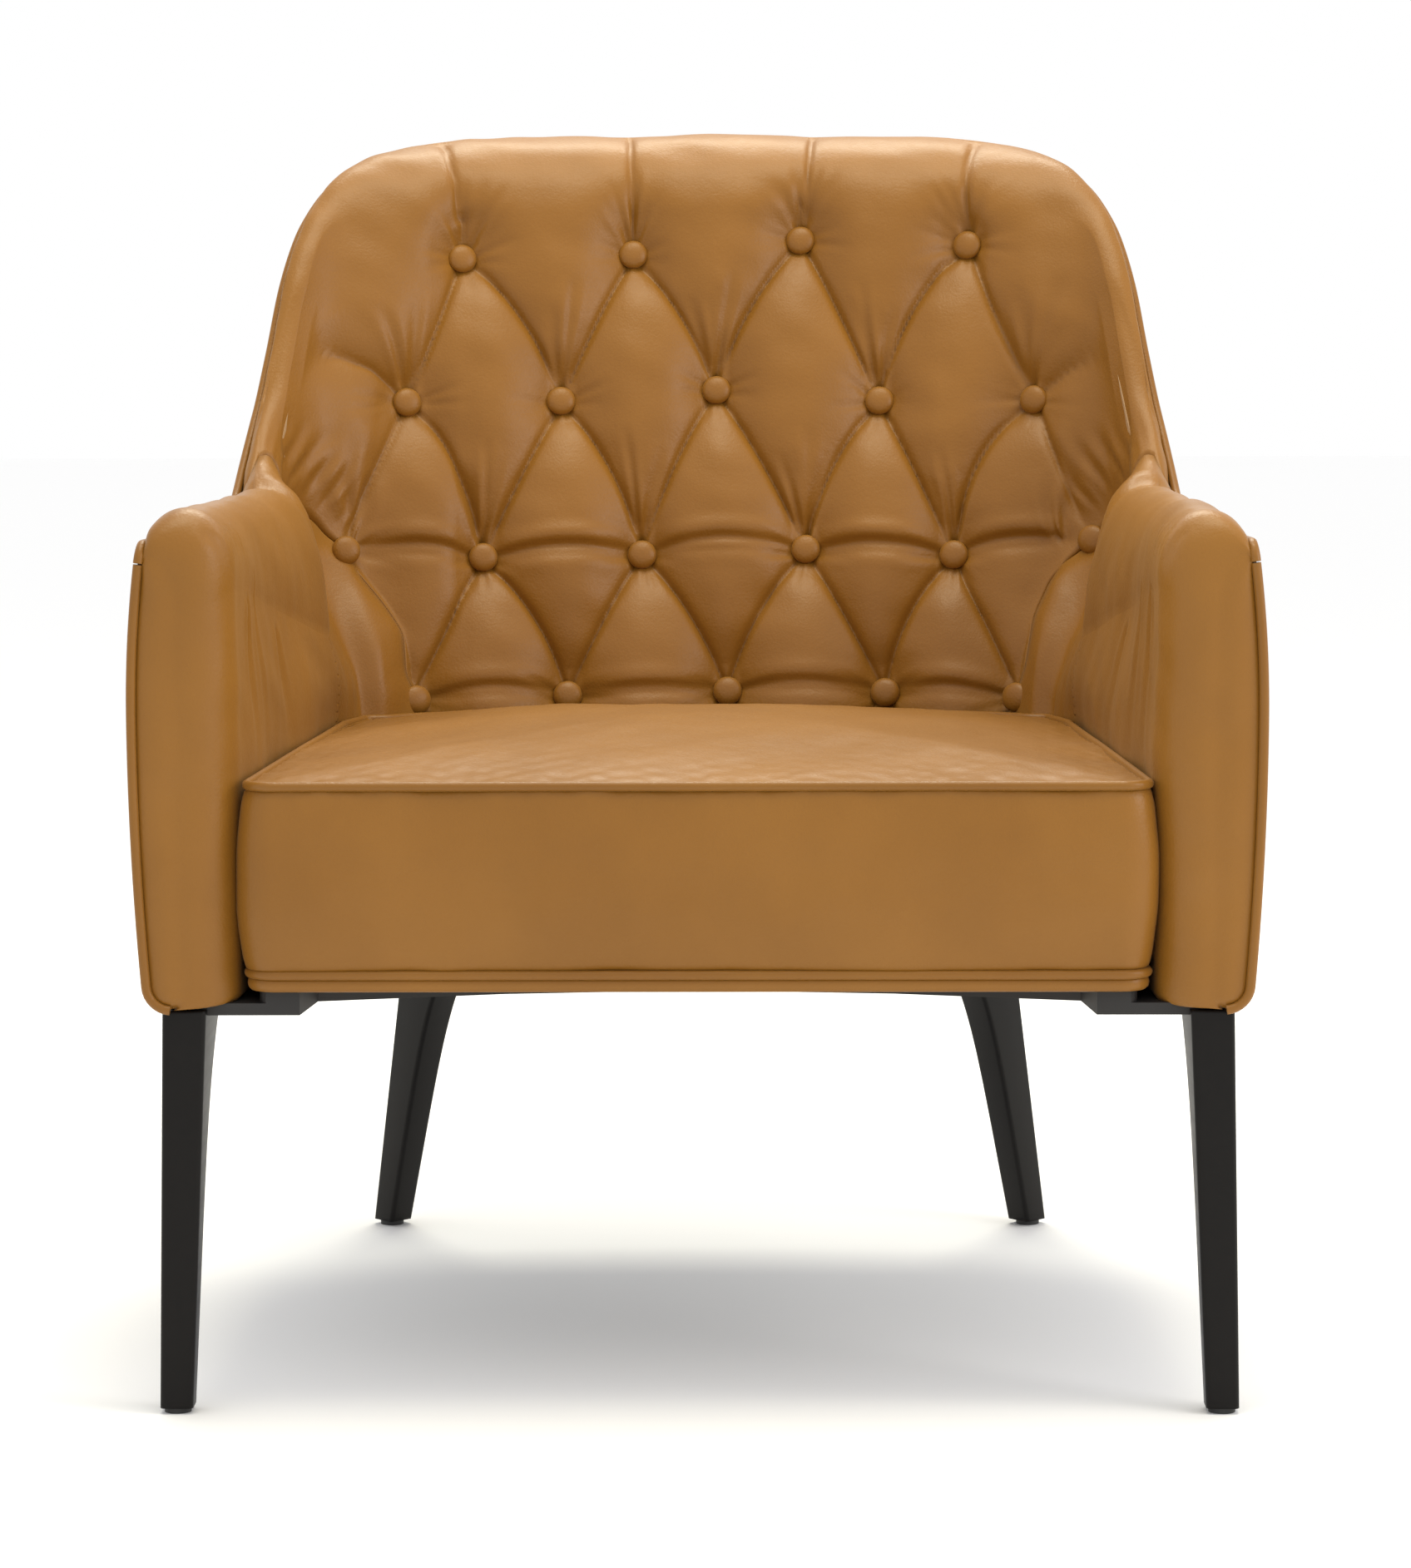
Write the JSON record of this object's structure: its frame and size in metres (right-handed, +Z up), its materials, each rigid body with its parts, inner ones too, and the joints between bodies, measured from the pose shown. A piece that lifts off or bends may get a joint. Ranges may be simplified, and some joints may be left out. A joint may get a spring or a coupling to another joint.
{
  "type": "upholstered armchair",
  "caption": "Armchair with a curved shell of arms and back in leather, a button-tufted inner back, a fixed piped seat block and tapered black legs.",
  "frame": {"origin": "centre of the footprint box on the floor, under the middle of the chair", "axes": "+Z up; the chair faces -Y; +X is to the right of a person who looks at its front"},
  "size_m": [0.746, 0.7702, 0.855],
  "materials": {
    "seat_leather": "fine-grained camel leather with a soft satin sheen",
    "piping_leather": "the same camel leather, folded over a cord and sewn",
    "foam": "cut polyurethane foam and wadding",
    "black_cloth": "black non-woven cloth",
    "deck_cloth": "woven hessian",
    "beech": "planed beech, unfinished",
    "plywood": "moulded plywood, unfinished",
    "spring_steel": "oiled spring wire",
    "black_steel": "black paint, satin",
    "bolt_steel": "zinc plated",
    "nylon": "moulded nylon, matt",
    "black_board": "board stained black, satin",
    "black_wood": "hardwood stained black, satin lacquer with fine grain"
  },
  "bodies": {
    "root": {"back_foam": "foam", "back_cover": "seat_leather", "left_arm_foam": "foam", "right_arm_foam": "foam", "left_arm_cover": "seat_leather", "right_arm_cover": "seat_leather", "back_panel": "plywood", "left_arm_panel": "plywood", "right_arm_panel": "plywood", "outer_back_padding": "foam", "left_outer_padding": "foam", "right_outer_padding": "foam", "outer_back_cover": "seat_leather", "left_outer_cover": "seat_leather", "right_outer_cover": "seat_leather", "shell_edge_piping": "piping_leather", "left_arm_front_piping": "piping_leather", "right_arm_front_piping": "piping_leather", "tuft_buttons": "seat_leather", "seat_foam": "foam", "spring_deck_cloth": "deck_cloth", "seat_top_panel": "seat_leather", "seat_border": "seat_leather", "seat_base_band": "seat_leather", "seat_top_piping": "piping_leather", "seat_lower_piping": "piping_leather", "front_seat_rail": "beech", "left_seat_rail": "beech", "right_seat_rail": "beech", "rear_seat_rail": "beech", "rear_left_corner_rail": "beech", "rear_right_corner_rail": "beech", "front_corner_blocks": "beech", "zigzag_springs": "spring_steel", "spring_clips": "spring_steel", "base_board": "black_board", "dust_cover": "black_cloth", "leg_plates": "black_steel", "leg_bolts": "bolt_steel", "front_left_leg": "black_wood", "front_right_leg": "black_wood", "rear_left_leg": "black_wood", "rear_right_leg": "black_wood", "foot_glides": "nylon"}
  },
  "joints": []
}
